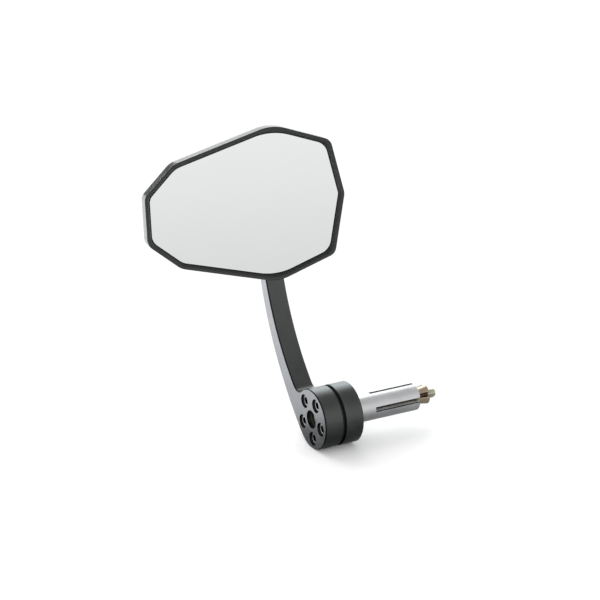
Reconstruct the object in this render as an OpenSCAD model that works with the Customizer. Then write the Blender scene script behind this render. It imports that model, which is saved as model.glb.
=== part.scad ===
// Bar end mirror: an angular mirror head on a ball joint, carried by a curved flat arm
// whose round root is screwed to a second disc, with an expanding sleeve that grips inside
// the end of a tubular handlebar.
// Millimetres. X runs along the handlebar, towards the middle of the machine.
// Y points forward, away from the rider. Z is up.
// The origin is on the bar axis, in the plane where the bar's end meets the rear disc.

/* [Clamp discs] */
// Diameter of both clamp discs
disc_d = 36; // [30:0.5:44]
// Thickness of the arm plate and of its round root
arm_t = 12; // [9:0.5:16]
// Width of the dark groove between the discs
gap_w = 1.6; // [0.8:0.2:3]
// How much smaller the spacer in the groove is, on the radius
gap_depth = 1.6; // [0.6:0.2:3]
// Thickness of the rear disc
rear_t = 11.6; // [9:0.2:16]
// Chamfer round the discs and along the arm
edge_c = 0.4; // [0.2:0.1:0.8]

/* [Clamp screws] */
// Number of screws round the disc
screw_n = 5; // [3:1:6]
// Radius of the circle through the screws
screw_pcr = 11.8; // [11:0.1:12.5]
// Angle of the first screw, from forward towards up
screw_a0 = 44.5; // [0:0.5:72]
// Thread diameter of the screws
screw_d = 4; // [3:0.5:4]
// Head diameter of the screws
screw_head_d = 7.2; // [6:0.1:7.4]
// Height of the screw heads
screw_head_h = 4; // [3:0.5:5]
// How far the heads lie below the face
screw_sink = 1.2; // [0.4:0.1:2]
// Diameter of the holes that the heads lie in
screw_cbore_d = 8.3; // [7.8:0.1:8.6]

/* [Expander] */
// Outside diameter of the sleeve
sleeve_d = 16.2; // [14:0.1:17.6]
// Length of the sleeve beyond the rear disc
sleeve_l = 43.8; // [36:0.2:60]
// How deep the sleeve sits in the rear disc
sleeve_seat = 4; // [3:0.5:6]
// How much smaller the seated end is than the sleeve, on the radius
seat_step = 0.6; // [0.3:0.1:0.9]
// Distance from the rear disc to the start of the slots
slot_x0 = 13.6; // [8:0.2:20]
// Width of the slots
slot_w = 2; // [1.2:0.1:2.6]
// Number of slots
slot_n = 4; // [2:1:6]
// Angle of the first slot, from forward towards up
slot_a0 = -7.5; // [-45:0.5:45]
// Radius of the sleeve's mouth, where the cone nut enters
mouth_r = 5.6; // [5:0.1:6]
// Length of the cone nut
nut_l = 10; // [8:0.5:12]
// How far the nut stands out of the sleeve in the photographed position
nut_out = 7.5; // [6:0.1:9]
// Radius of the nut's small end
nut_r0 = 4.3; // [4:0.1:4.6]
// Radius of the nut's large end
nut_r1 = 5.95; // [5.6:0.05:6.4]
// Outer radius of the nut's ribs
rib_r = 6.2; // [5.8:0.1:7]
// Distance the nut is drawn in before it meets the sleeve
nut_travel = 5; // [3:0.5:6]
// Diameter of the expander bolt
bolt_d = 5.9; // [5:0.1:6]
// Diameter of the bolt head
bolt_head_d = 10; // [8.5:0.5:10]
// Height of the bolt head
bolt_head_h = 6; // [5:0.5:6]
// Depth of the bolt head below the face
bolt_sink = 3.8; // [2:0.2:4.5]
// Diameter of the bore that the bolt head lies in
bolt_bore_d = 11; // [10.6:0.1:12]
// How far the bolt's tip stands out of the nut
bolt_tip = 5.3; // [2:0.1:8]

/* [Arm] */
// Radius of the arm's hollow side, towards the rider
arm_rider_r = 140.5; // [120:0.5:180]
// Radius of the arm's outer side
arm_front_r = 158; // [140:0.5:200]
// Forward reach of the hollow side at the top of the arm
arm_reach = 66; // [60:0.5:75]
// Thickness of the arm at the top
arm_top_t = 5.8; // [5:0.1:8]
// How far below the ball's centre the outer side stands upright
arm_front_drop = 2.6; // [0:0.2:8]
// Distance in front of the bar's axis at which the hollow side, run on, passes it
arm_rider_pass = 3.48; // [2:0.02:8]
// Distance inside the root disc's edge at which the outer side, run on, passes
arm_front_pass = 1.65; // [0.5:0.05:4]
// Radius of the flatter lower edge between the outer side and the root disc
arm_low_r = 190; // [180:5:900]
// Fillet where the hollow side meets the root disc
arm_fillet = 7; // [4:0.5:9]
// How far the boss for the ball stud stands out in front
boss_h = 1.8; // [1:0.1:4]

/* [Ball joint] */
// Height of the ball's centre above the bar axis
ball_z = 115; // [105:0.5:125]
// Distance from the ball's centre to the arm
stud_l = 13.3; // [12:0.1:18]
// Diameter of the ball
ball_d = 16; // [14:0.5:18]
// Diameter of the stud's neck
neck_d = 7; // [5:0.5:8]
// Thread diameter of the stud
stud_d = 5.9; // [5:0.1:6]
// Wall thickness of the ball liner
liner_t = 2.34; // [1.5:0.01:3]
// Clearance between ball, liner and socket
ball_fit = 0.06; // [0.02:0.01:0.1]
// Outside radius of the socket
socket_r = 16.5; // [15:0.5:19]
// Height of the cone between the socket and the head's back
cone_h = 5; // [3:0.5:6]
// How much wider the cone is at the head's back
cone_w = 3.5; // [1:0.5:6]
// Thickness of the ring that closes the socket
ring_h = 4; // [3:0.5:5]
// Distance from the ball's centre back to the ring
ring_set = 1.5; // [1:0.1:2.5]
// Radius of the circle through the ring's screws
ring_pcr = 13.5; // [13:0.1:15]
// Length of the ring's screws under their heads
ring_screw_l = 8.5; // [6:0.5:10]

/* [Mirror head] */
// Width of the head over its straight sides
head_w = 116.8; // [105:0.2:130]
// Turn of the head about the upright axis
head_az = -13.5; // [-18:0.5:12]
// Backward tilt of the head
head_el = 13; // [-8:0.5:18]
// Distance from the ball's centre to the glass
glass_n = 20.6; // [20:0.1:24]
// Thickness of the glass
glass_t = 2; // [1.5:0.1:3]
// Thickness of the pad behind the glass
pad_t = 0.8; // [0.4:0.1:1.5]
// Depth of the glass below the front of the rim
rim_h = 2.7; // [1.5:0.1:4]
// Width of the rim's flat front
rim_w = 1.75; // [1:0.05:3]
// Width from the rim's outside to the glass
rim_in = 3; // [2.4:0.1:4]
// Depth of the head's straight side
side_h = 7.6; // [6:0.1:10]
// Depth of the slope behind the straight side
slope_h = 2.4; // [1:0.1:4]
// Width of the slope
slope_w = 9; // [6:0.5:12]

/* [Hidden] */
$fn = 96;
eps = 0.05;
thread_bite = 0.05;
// Faces that run smoothly into each other pass this far through each other.
touch = 0.02;

rear_x0 = -rear_t;
gap_x0 = rear_x0 - gap_w;
face_x = gap_x0 - arm_t;
arm_mid_x = face_x + arm_t / 2;
disc_r = disc_d / 2;
screw_angles = [for (i = [0 : screw_n - 1]) screw_a0 + i * 360 / screw_n];

slide_fit = 0.05;
sleeve_r = sleeve_d / 2;
seat_r = sleeve_r - seat_step;
nut_x1 = sleeve_l + nut_out;
nut_x0 = nut_x1 - nut_l;
nut_slope = (nut_r1 - nut_r0) / nut_l;
// The sleeve's mouth has the nut's own taper, down to the plain bore.
bore_r = mouth_r - nut_slope * (sleeve_l - (nut_x0 - nut_travel));
bolt_r = bolt_d / 2;
bolt_x0 = face_x + bolt_sink;
bolt_seat_x = bolt_x0 + bolt_head_h;
bolt_x1 = nut_x1 + bolt_tip;
bolt_hole_r = bolt_r + 0.35;

// The arm's two long sides are arcs. Each starts at a point at the top and, run on down,
// passes the bar's axis at a given distance. This is the centre of such an arc.
function arc_centre(r, pass, top) = let (d = norm(top), a = r - pass,
    x = (a * a - r * r + d * d) / (2 * d), y = sqrt(a * a - x * x))
  (x * top + y * [-top[1], top[0]]) / d;
rider_c = arc_centre(arm_rider_r, arm_rider_pass, [arm_reach, ball_z]);
front_c = arc_centre(arm_front_r, disc_r - arm_front_pass,
  [arm_reach + arm_top_t, ball_z - arm_front_drop]);
// Middle of the plate, between its two arcs, at a height.
function plate_mid(z) = [(rider_c[0] + sqrt(arm_rider_r * arm_rider_r - (z - rider_c[1]) * (z - rider_c[1]))
  + front_c[0] + sqrt(arm_front_r * arm_front_r - (z - front_c[1]) * (z - front_c[1]))) / 2, z];
// The flatter lower edge is an arc too. It runs on smoothly from the outer arc and the disc.
front_d = norm(front_c);
low_d = arm_low_r - disc_r;
low_q = arm_low_r - arm_front_r;
low_a = atan2(front_c[1], front_c[0])
  + acos((low_d * low_d + front_d * front_d - low_q * low_q) / (2 * low_d * front_d));
low_c = low_d * [cos(low_a), sin(low_a)];
low_m1 = -low_c / norm(low_c);
low_m2 = (front_c - low_c) / norm(front_c - low_c);
low_m3 = (low_m1 + low_m2) / (1 + low_m1 * low_m2);
// The fillet touches the root disc from outside and the hollow arc from inside.
fil_p = disc_r + arm_fillet;
fil_q = arm_rider_r - arm_fillet;
fil_d = norm(rider_c);
fil_k = acos((fil_p * fil_p + fil_d * fil_d - fil_q * fil_q) / (2 * fil_p * fil_d));
fil_a = atan2(rider_c[1], rider_c[0]) - fil_k;
fil_c = fil_p * [cos(fil_a), sin(fil_a)];
pad_y = arm_reach + 0.2;
ball_y = pad_y - stud_l;
boss_y = arm_reach + arm_top_t + boss_h;
boss_r = arm_t / 2 + touch;
stud_r = stud_d / 2;
collar_h = 2.6;
washer_t = 1.2;
nut6_h = 5;

ball_r = ball_d / 2;
liner_r0 = ball_r + ball_fit;
liner_r1 = liner_r0 + liner_t;
cup_r = liner_r1 + ball_fit;
ring_n0 = -ring_set;
ring_n1 = -ring_set - ring_h;
ring_screw_r = 1.5;
ring_head_r = 2.75;
ring_head_h = 2;

rim_n = glass_n + rim_h;
side_n = rim_n - side_h;
back_n = side_n - slope_h;
floor_n = glass_n - glass_t - pad_t;

// Corners of the head's outline seen by the rider, from the ball's centre: across, up,
// and the radius of the corner. They run down the outer end, then round to the top.
head_k = head_w / 116.8;
head_pts = head_k * [
  [-82.4, 13.3, 6], [-82.4, -14.2, 7], [-63.8, -29.2, 12],
  [-7.6, -41.8, 24], [27, -28.4, 6], [34.4, 6.1, 8],
  [27.7, 37.7, 6], [-6.1, 49, 25], [-65, 30.8, 12]
];
pn = len(head_pts);
function pt(i) = [head_pts[i % pn][0], head_pts[i % pn][1]];
function pr(i) = head_pts[i % pn][2];
function way(i) = let (v = pt(i + 1) - pt(i)) v / norm(v);
function inw(i) = [-way(i)[1], way(i)[0]];
// Centre of the arc that rounds corner i.
function cen(i) = let (a = inw(i + pn - 1), b = inw(i)) pt(i) + pr(i) * (a + b) / (1 + a * b);

// Places 2D work drawn in Y and Z, and extrudes it along X.
module along_x() { rotate([90, 0, 90]) children(); }
module xcyl(x0, x1, r0, r1 = -1) {
  translate([x0, 0, 0]) rotate([0, 90, 0]) cylinder(h = x1 - x0, r1 = r0, r2 = r1 < 0 ? r0 : r1);
}
module ycyl(y0, y1, r0, r1 = -1) {
  translate([0, y0, 0]) rotate([-90, 0, 0]) cylinder(h = y1 - y0, r1 = r0, r2 = r1 < 0 ? r0 : r1);
}
module at_ball() { translate([arm_mid_x, ball_y, ball_z]) children(); }
// Across, up and out of the glass become the first, second and third axis.
module head_frame() { at_ball() rotate([-head_el, 0, head_az]) rotate([90, 0, 0]) children(); }
module each_screw() {
  for (a = screw_angles) translate([0, screw_pcr * cos(a), screw_pcr * sin(a)]) children();
}
module each_ring_screw() {
  for (i = [0 : 2]) rotate([0, 0, 90 + 120 * i]) translate([ring_pcr, 0, 0]) children();
}
// Round bar with a chamfer on both ends.
module xdisc(x0, x1, r, c) {
  xcyl(x0 + c, x1 - c, r);
  xcyl(x0, x0 + c, r - c, r);
  xcyl(x1 - c, x1, r, r - c);
}

// Flat round plate with a chamfer on both edges.
module round_plate(r) {
  rotate_extrude() polygon([[0, 0], [r - edge_c, 0], [r, edge_c], [r, arm_t - edge_c],
    [r - edge_c, arm_t], [0, arm_t]]);
}
// Round hole through the plate with a chamfer on both edges.
module round_cut(r) {
  rotate_extrude() polygon([[0, -1], [r + edge_c + 1, -1], [r, edge_c], [r, arm_t - edge_c],
    [r + edge_c + 1, arm_t + 1], [0, arm_t + 1]]);
}

// The arm's outline is a disc, an outer arc, a flatter lower arc and a hollow arc.
module arm_plate() {
  translate([face_x, 0, 0]) along_x() {
    round_plate(disc_r);
    difference() {
      union() {
        intersection() {
          translate(front_c) round_plate(arm_front_r);
          translate([0, -0.67 * disc_r, -1])
            cube([arm_reach + arm_top_t + 5, 0.67 * disc_r + ball_z, arm_t + 2]);
        }
        intersection() {
          translate(low_c) round_plate(arm_low_r - touch);
          translate([0, 0, -1]) linear_extrude(arm_t + 2) polygon([[0, 0],
            low_c + (arm_low_r + 5) * low_m1, low_c + (arm_low_r + 5) * low_m3,
            low_c + (arm_low_r + 5) * low_m2, low_c + (arm_low_r - 6) * low_m2,
            plate_mid(0.67 * disc_r)]);
          translate([0, -disc_r, -1])
            cube([arm_reach + arm_top_t + 5, disc_r + ball_z, arm_t + 2]);
        }
      }
      translate(rider_c) round_cut(arm_rider_r);
    }
    difference() {
      linear_extrude(arm_t) polygon([[0, 0], fil_c,
        rider_c + (arm_rider_r + 2) * (fil_c - rider_c) / norm(fil_c - rider_c),
        plate_mid(0.45 * disc_r)]);
      translate(fil_c) round_cut(arm_fillet + touch);
    }
  }
}

module mirror_arm() {
  color([0.2, 0.2, 0.21]) difference() {
    union() {
      arm_plate();
      translate([arm_mid_x, 0, ball_z]) ycyl(arm_reach + 0.1, boss_y, boss_r);
    }
    translate([arm_mid_x, 0, ball_z]) {
      ycyl(arm_reach - 8, pad_y, boss_r + 0.6);
      ycyl(arm_reach - 8, boss_y + 1, stud_r + slide_fit);
    }
    xcyl(face_x - 1, bolt_seat_x, bolt_bore_d / 2);
    xcyl(face_x - 1, gap_x0 + 1, bolt_hole_r);
    each_screw() {
      xcyl(face_x - 1, face_x + screw_sink + screw_head_h, screw_cbore_d / 2);
      xcyl(face_x - 1, gap_x0 + 1, screw_d / 2 + 0.2);
    }
  }
}

module spacer_disc() {
  color([0.05, 0.05, 0.05]) difference() {
    xcyl(gap_x0, rear_x0, disc_r - gap_depth);
    xcyl(gap_x0 - 1, rear_x0 + 1, bolt_hole_r);
    each_screw() xcyl(gap_x0 - 1, rear_x0 + 1, screw_d / 2 + 0.2);
  }
}

module rear_disc() {
  color([0.2, 0.2, 0.21]) difference() {
    xdisc(rear_x0, 0, disc_r, edge_c);
    xcyl(-sleeve_seat, 0.5, seat_r + slide_fit);
    xcyl(-seat_step, 0.5, seat_r + slide_fit, sleeve_r + slide_fit + 0.5);
    xcyl(rear_x0 - 1, 1, bolt_hole_r);
    each_screw() xcyl(rear_x0 - 1, -3, screw_d / 2 - thread_bite);
  }
}

module cap_screw(x0, head_r, head_h, r, x1, key, key_depth) {
  difference() {
    union() {
      xcyl(x0, x0 + 0.3, head_r - 0.3, head_r);
      xcyl(x0 + 0.3, x0 + head_h, head_r);
      xcyl(x0 + head_h - eps, x1 - r * 0.25, r);
      xcyl(x1 - r * 0.25, x1, r, r * 0.75);
    }
    translate([x0 - 1, 0, 0]) rotate([0, 90, 0])
      cylinder(h = 1 + key_depth, r = key / sqrt(3), $fn = 6);
  }
}

module clamp_screws() {
  color([0.6, 0.6, 0.6]) each_screw()
    cap_screw(face_x + screw_sink, screw_head_d / 2, screw_head_h, screw_d / 2, -3.6, 3, 2.2);
}

module expander_sleeve() {
  color([0.8, 0.8, 0.8]) difference() {
    union() {
      xcyl(-sleeve_seat, -seat_step, seat_r);
      xcyl(-seat_step, 0, seat_r, sleeve_r);
      xcyl(0, sleeve_l - 0.6, sleeve_r);
      xcyl(sleeve_l - 0.6, sleeve_l, sleeve_r, sleeve_r - 0.6);
    }
    xcyl(-sleeve_seat - 1, sleeve_l, bolt_hole_r);
    xcyl(5, sleeve_l, bore_r);
    xcyl(nut_x0 - nut_travel, sleeve_l + 1, bore_r, mouth_r + nut_slope);
    for (i = [0 : slot_n - 1]) rotate([slot_a0 + i * 360 / slot_n, 0, 0])
      translate([slot_x0, 0, -slot_w / 2]) cube([sleeve_l, sleeve_r + 2, slot_w]);
  }
}

module cone_nut() {
  color([0.72, 0.62, 0.45]) difference() {
    union() {
      xcyl(nut_x0, nut_x1, nut_r0, nut_r1);
      for (i = [0 : slot_n - 1]) rotate([slot_a0 + i * 360 / slot_n, 0, 0])
        translate([nut_x0 + 0.4, nut_r0 - 0.8, -slot_w / 2 + 0.1])
          cube([nut_l - 2.9, rib_r - nut_r0 + 0.8, slot_w - 0.2]);
    }
    xcyl(nut_x0 - 1, nut_x1 + 1, bolt_r + slide_fit);
  }
}

module expander_bolt() {
  color([0.62, 0.6, 0.52])
    cap_screw(bolt_x0, bolt_head_d / 2, bolt_head_h, bolt_r, bolt_x1, 5, 3.2);
}

module ball_stud() {
  color([0.6, 0.6, 0.62]) at_ball() {
    sphere(r = ball_r);
    ycyl(0, stud_l - collar_h + eps, neck_d / 2);
    translate([0, stud_l - collar_h, 0]) rotate([-90, 0, 0])
      cylinder(h = collar_h, r = 10 / sqrt(3), $fn = 6);
    ycyl(stud_l - eps, boss_y - ball_y + washer_t + nut6_h + 0.2, stud_r);
    ycyl(boss_y - ball_y + washer_t + nut6_h + 0.2, boss_y - ball_y + washer_t + nut6_h + 1,
      stud_r, stud_r - 0.8);
  }
}

module stud_washer() {
  color([0.7, 0.7, 0.7]) translate([arm_mid_x, 0, ball_z]) difference() {
    ycyl(boss_y, boss_y + washer_t, 5.9);
    ycyl(boss_y - 1, boss_y + washer_t + 1, stud_r + 0.25);
  }
}

module stud_nut() {
  y0 = boss_y + washer_t;
  color([0.7, 0.7, 0.7]) translate([arm_mid_x, 0, ball_z]) difference() {
    intersection() {
      translate([0, y0, 0]) rotate([-90, 0, 0]) cylinder(h = nut6_h, r = 10 / sqrt(3), $fn = 6);
      ycyl(y0, y0 + nut6_h, 5.2 + nut6_h, 5.2);
    }
    ycyl(y0 - 1, y0 + nut6_h + 1, stud_r - thread_bite);
  }
}

// Half of the nylon bearing between two heights on the head's own axis.
module liner_half(n0, n1) {
  head_frame() difference() {
    intersection() {
      sphere(r = liner_r1);
      translate([0, 0, n0]) cylinder(h = n1 - n0, r = liner_r1 + 1);
    }
    sphere(r = liner_r0);
  }
}
module liner_front() { color([0.9, 0.9, 0.86]) liner_half(0.1, 5); }
module liner_rear() { color([0.9, 0.9, 0.86]) liner_half(-4, -0.1); }

module socket_ring() {
  color([0.2, 0.2, 0.21]) head_frame() difference() {
    union() {
      translate([0, 0, ring_n1]) cylinder(h = 0.5, r1 = socket_r - 0.5, r2 = socket_r);
      translate([0, 0, ring_n1 + 0.5]) cylinder(h = ring_n0 - ring_n1 - 0.5, r = socket_r);
    }
    sphere(r = cup_r);
    each_ring_screw() {
      translate([0, 0, ring_n1 - 1]) cylinder(h = 6, r = ring_screw_r + 0.15);
      translate([0, 0, ring_n1 - 1]) cylinder(h = 1 + ring_head_h, r = ring_head_r + 0.15);
    }
  }
}

module ring_screws() {
  color([0.6, 0.6, 0.6]) head_frame() each_ring_screw() difference() {
    union() {
      translate([0, 0, ring_n1 + 0.1]) cylinder(h = ring_head_h - 0.1, r = ring_head_r);
      translate([0, 0, ring_n1 + 1])
        cylinder(h = ring_head_h - 1 + ring_screw_l, r = ring_screw_r);
    }
    translate([0, 0, ring_n1 - 1]) cylinder(h = 2.3, r = 2 / sqrt(3), $fn = 6);
  }
}

// The head's rounded outline, inset by s.
module outline(s) {
  polygon([for (i = [0 : pn - 1]) each
    [cen(i) - (pr(i) - s - touch) * inw(i + pn - 1), cen(i) - (pr(i) - s - touch) * inw(i)]]);
  for (i = [0 : pn - 1]) translate(cen(i)) circle(r = pr(i) - s);
}
module slab(s, n0, n1) { translate([0, 0, n0]) linear_extrude(n1 - n0) outline(s); }

// The slanted inside of the rim: a cone in each corner, and a prism along each side.
module rim_corners(s0, n0, s1, n1) {
  for (i = [0 : pn - 1]) translate([cen(i)[0], cen(i)[1], n0])
    cylinder(h = n1 - n0, r1 = pr(i) - s0, r2 = pr(i) - s1);
}
module rim_sides(s0, n0, s1, n1) {
  for (i = [0 : pn - 1]) {
    c0 = cen(i) - pr(i) * inw(i);
    c1 = cen(i + 1) - pr(i + 1) * inw(i);
    translate([c0[0], c0[1], n0]) rotate([0, 0, atan2(way(i)[1], way(i)[0])])
      rotate([90, 0, 90]) linear_extrude(norm(c1 - c0))
        polygon([[s0 + touch, 0], [s0 + 2.9, 0], [s0 + 2.9, n1 - n0], [s1 + touch, n1 - n0]]);
  }
}

// Cuts the sloping back along every side of the outline.
module back_cuts() {
  k = slope_h / slope_w;
  for (i = [0 : pn - 1]) translate([pt(i)[0], pt(i)[1], side_n])
    rotate([0, 0, atan2(way(i)[1], way(i)[0])]) translate([-1, 0, 0]) rotate([90, 0, 90])
      linear_extrude(norm(pt(i + 1) - pt(i)) + 2)
        polygon([[-3, 3 * k], [-3, -slope_h - 3 * k], [slope_w + 3, -slope_h - 3 * k]]);
}

module mirror_housing() {
  color([0.16, 0.16, 0.17]) head_frame() difference() {
    union() {
      difference() {
        slab(0, back_n, rim_n);
        back_cuts();
      }
      translate([0, 0, back_n - cone_h])
        cylinder(h = cone_h + eps, r1 = socket_r, r2 = socket_r + cone_w);
      translate([0, 0, ring_n0]) cylinder(h = back_n - ring_n0 - cone_h + eps, r = socket_r);
    }
    slab(rim_in, floor_n, glass_n + eps);
    slab(rim_in + 2, glass_n, rim_n + 0.1);
    rim_corners(rim_in - 0.1, glass_n, rim_w, rim_n + 0.1);
    rim_sides(rim_in - 0.1, glass_n, rim_w, rim_n + 0.1);
    sphere(r = cup_r);
    translate([0, 0, ring_n0 - 1]) cylinder(h = 1 - ring_n0, r = cup_r);
    each_ring_screw() translate([0, 0, ring_n0 - 1])
      cylinder(h = ring_head_h + ring_screw_l - ring_h + 1.5, r = ring_screw_r - thread_bite);
  }
}

module glass_pad() { color([0.1, 0.1, 0.1]) head_frame() slab(rim_in + 1.2, floor_n, floor_n + pad_t); }
module mirror_glass() { color([0.85, 0.88, 0.88]) head_frame() slab(rim_in + 0.12, glass_n - glass_t, glass_n); }

expander_sleeve();
expander_bolt();
cone_nut();
mirror_arm();
spacer_disc();
rear_disc();
clamp_screws();
ball_stud();
stud_washer();
stud_nut();
liner_front();
liner_rear();
socket_ring();
ring_screws();
mirror_housing();
glass_pad();
mirror_glass();
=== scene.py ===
"""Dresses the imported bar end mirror: its turned, milled and moulded pieces, light and camera."""

import logging
import math
from dataclasses import dataclass, field
from enum import Enum

import bmesh
import bpy
import numpy as np
from bpy.types import Material, Node, NodeSocket, NodeTree, Object, bpy_prop_collection
from mathutils import Matrix, Vector


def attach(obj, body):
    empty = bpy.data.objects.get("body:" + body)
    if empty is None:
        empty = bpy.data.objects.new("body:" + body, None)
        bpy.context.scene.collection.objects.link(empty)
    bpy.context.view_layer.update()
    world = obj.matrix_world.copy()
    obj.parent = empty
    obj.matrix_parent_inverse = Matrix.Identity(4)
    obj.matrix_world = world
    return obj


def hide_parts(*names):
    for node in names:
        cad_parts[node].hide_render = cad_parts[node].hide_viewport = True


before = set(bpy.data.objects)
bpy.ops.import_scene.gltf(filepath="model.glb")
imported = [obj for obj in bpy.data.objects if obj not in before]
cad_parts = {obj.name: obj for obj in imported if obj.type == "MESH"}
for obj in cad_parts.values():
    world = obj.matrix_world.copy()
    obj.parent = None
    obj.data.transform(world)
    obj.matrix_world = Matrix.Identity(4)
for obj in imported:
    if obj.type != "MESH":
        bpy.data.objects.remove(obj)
log = logging.getLogger("bar_end_mirror")
MM = 0.001
TAU = 2 * math.pi
# The two colour inputs and the colour output of a Mix node.
MIX_A, MIX_B, MIX_OUT = 6, 7, 2
SMOOTH = {"interpolation_type": "SMOOTHSTEP"}


# ---------------------------------------------------------------- colours and nodes
def linear(code: str) -> tuple[float, float, float, float]:
    """Turns an sRGB hex colour into the linear colour that a shader takes.

    Args:
        code: Six hex digits, with or without a leading #.

    Returns:
        Linear red, green, blue and an alpha of 1.
    """
    digits = code.lstrip("#")
    srgb = np.array([int(digits[i:i + 2], 16) for i in (0, 2, 4)]) / 255.0
    lin = np.where(srgb <= 0.04045, srgb / 12.92, ((srgb + 0.055) / 1.055) ** 2.4)
    return (float(lin[0]), float(lin[1]), float(lin[2]), 1.0)


def add_node(tree: NodeTree, kind: str, props: dict | None = None,
             inputs: dict | tuple = ()) -> Node:
    """Adds one node with its settings, its constant inputs and its links.

    Args:
        tree: The node tree that takes the node.
        kind: Blender's name of the node type, after its leading ShaderNode.
        props: Settings of the node itself.
        inputs: A constant or another node's output socket for each input, in the inputs' own
            order, or by their names or numbers.

    Returns:
        The new node.
    """
    node = tree.nodes.new("ShaderNode" + kind)
    for key, value in (props or {}).items():
        setattr(node, key, value)
    for key, value in (inputs.items() if isinstance(inputs, dict) else enumerate(inputs)):
        socket = node.inputs[key]
        if isinstance(value, NodeSocket):
            tree.links.new(value, socket)
        else:
            socket.default_value = value
    return node


def blank_material(name: str) -> tuple[Material, NodeTree]:
    """Makes an empty node material.

    Args:
        name: The material's name.

    Returns:
        The material and its emptied node tree.
    """
    mat = bpy.data.materials.new(name)
    mat.use_nodes = True
    mat.node_tree.nodes.clear()
    return mat, mat.node_tree


def end_surface(tree: NodeTree, shader: NodeSocket) -> None:
    """Joins a shader to the material's output."""
    add_node(tree, "OutputMaterial", inputs={"Surface": shader})


# ---------------------------------------------------------------- finishes
@dataclass(frozen=True)
class Finish:
    """What the surface of a piece is made of and how it was made."""

    name: str

    def skin(self, tree: NodeTree, coords: bpy_prop_collection) -> NodeSocket:
        """Builds the surface's shader.

        Args:
            tree: The material's node tree.
            coords: The outputs of a Texture Coordinate node.

        Returns:
            The shader's output.
        """
        raise NotImplementedError

    def build(self) -> Material:
        """Builds the material.

        Returns:
            The finished node material.
        """
        mat, tree = blank_material(self.name)
        end_surface(tree, self.skin(tree, add_node(tree, "TexCoord").outputs))
        return mat


class Grain(Enum):
    """Marks of the last tool, as the scale of their pattern along X, Y and Z.

    Where the scale is small the marks are long.
    """

    BLASTED = (1.0, 1.0, 1.0)    # even pits left by fine glass bead
    TURNED = (1.0, 0.06, 0.06)   # fine rings round the X axis, left by the lathe
    BRUSHED = (1.0, 1.0, 0.08)   # fine lines up and down, from a belt


@dataclass(frozen=True)
class MetalFinish(Finish):
    """A metal surface with the marks of its last tool.

    The colour wanders a little between two tones, the roughness wanders with it, and a bump
    carries the grain. The grain is a noise whose cells are stretched along the tool's way. The
    wandering is a wide noise plus a share of the grain, and the spans say which of its values
    give the ends of the tones and of the roughness.
    """

    tone: str
    tone_2: str
    roughness: float
    grain: Grain = Grain.BLASTED
    grain_mm: float = 0.35
    bump: float = 0.12
    coat: float = 0.0
    coat_roughness: float = 0.25
    spread: float = 0.08
    slant_deg: float = 0.0
    cloud_mm: float = 14.0
    grain_share: float = 0.6
    tone_span: tuple[float, float] = (0.55, 1.05)
    roughness_span: tuple[float, float] = (0.5, 1.1)
    pit_mm: float = 0.05

    def skin(self, tree: NodeTree, coords: bpy_prop_collection) -> NodeSocket:
        """Builds the surface's shader.

        Args:
            tree: The material's node tree.
            coords: The outputs of a Texture Coordinate node.

        Returns:
            The shader's output.
        """
        where = coords["Object"]
        grit = add_node(tree, "Mapping", inputs={
            0: where, "Scale": self.grain.value, "Rotation": (math.radians(self.slant_deg), 0, 0)})
        cells = add_node(tree, "TexNoise", inputs={
            "Vector": grit.outputs[0], "Scale": 1.0 / (self.grain_mm * MM), "Detail": 3.0,
            "Roughness": 0.6}).outputs["Fac"]
        cloud = add_node(tree, "TexNoise", inputs={
            "Vector": where, "Scale": 1.0 / (self.cloud_mm * MM), "Detail": 2.0,
            "Roughness": 0.5}).outputs["Fac"]
        wander = add_node(tree, "Math", {"operation": "MULTIPLY_ADD"}, (
            cells, self.grain_share, cloud)).outputs[0]
        part = add_node(tree, "MapRange", inputs=(wander, *self.tone_span, 0.0, 1.0))
        tone = add_node(tree, "Mix", {"data_type": "RGBA"}, {
            0: part.outputs[0], MIX_A: linear(self.tone), MIX_B: linear(self.tone_2)})
        rough = add_node(tree, "MapRange", inputs=(
            wander, *self.roughness_span,
            self.roughness - self.spread, self.roughness + self.spread))
        pits = add_node(tree, "Bump", inputs={
            "Strength": self.bump, "Distance": self.pit_mm * MM, "Height": cells})
        return add_node(tree, "BsdfPrincipled", inputs={
            "Base Color": tone.outputs[MIX_OUT], "Metallic": 1.0, "Roughness": rough.outputs[0],
            "Normal": pits.outputs[0], "Coat Weight": self.coat,
            "Coat Roughness": self.coat_roughness}).outputs[0]


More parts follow.
